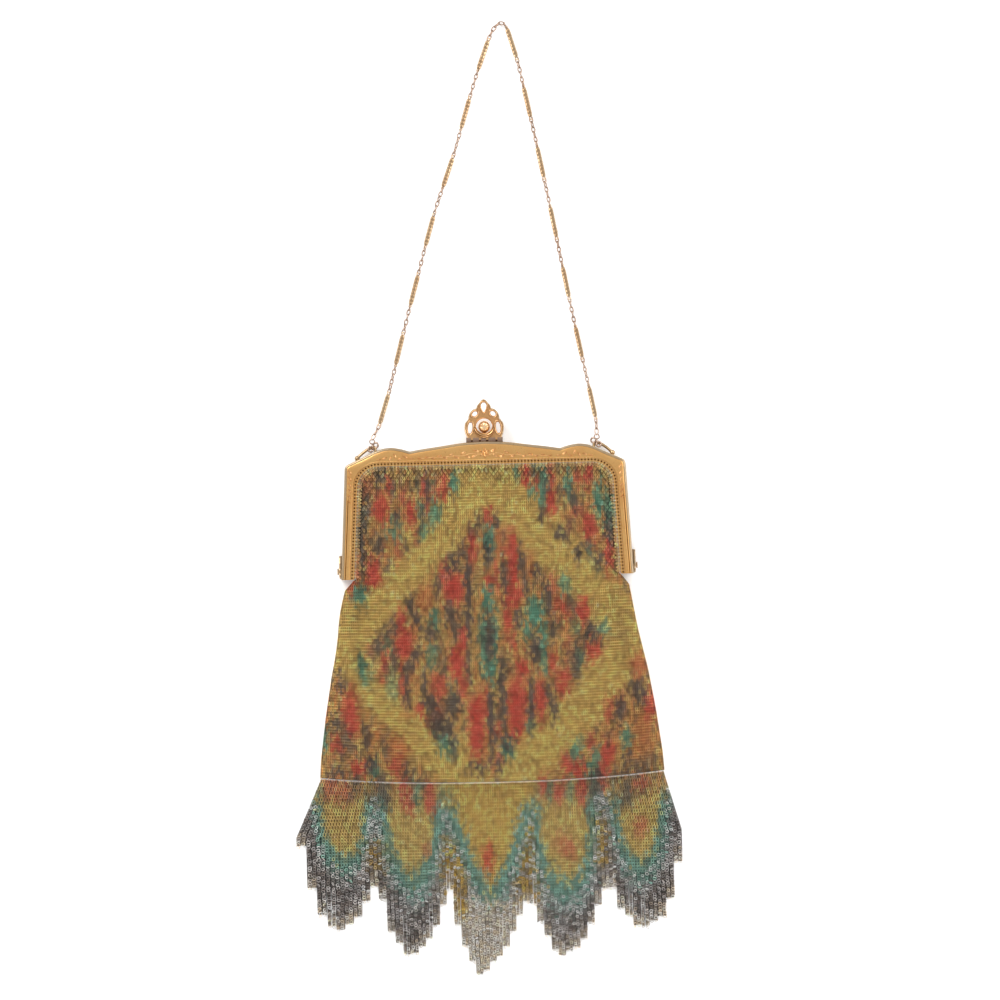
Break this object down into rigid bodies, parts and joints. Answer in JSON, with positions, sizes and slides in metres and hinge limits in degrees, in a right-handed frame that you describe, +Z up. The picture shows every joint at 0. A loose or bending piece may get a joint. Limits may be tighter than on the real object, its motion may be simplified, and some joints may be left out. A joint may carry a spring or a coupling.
{
  "type": "metal mesh purse",
  "caption": "Flat evening purse of painted ring mesh on a hinged gilt brass frame, with a pierced snap clasp, a bar and link chain and a pointed mesh fringe.",
  "frame": {"origin": "on the flat back of the rear frame half, at the middle of its top bar, on the surface that the purse lies on", "axes": "X across the frame, +Y towards the top of the chain, +Z up out of the surface"},
  "size_m": [0.158, 0.3809, 0.0095],
  "materials": {
    "frame_gilt": "satin, worn gilding with greyer rims",
    "clasp_gilt": "worn gilding, dark in the hollows",
    "rivet": "dull",
    "painted_mesh": "enamelled metal rings, rubbed",
    "fringe_mesh": "dark enamel with bare metal glints",
    "chain_gilt": "bright gilding on bars, paler links"
  },
  "bodies": {
    "root": {"frame_front": "frame_gilt", "frame_rear": "frame_gilt", "hinge_rivet_left": "rivet", "hinge_rivet_right": "rivet", "clasp_crest": "clasp_gilt", "clasp_button": "clasp_gilt", "pouch": "painted_mesh", "fringe": "fringe_mesh", "chain": "chain_gilt", "chain_ring_left": "chain_gilt", "chain_ring_right": "chain_gilt"}
  },
  "joints": []
}
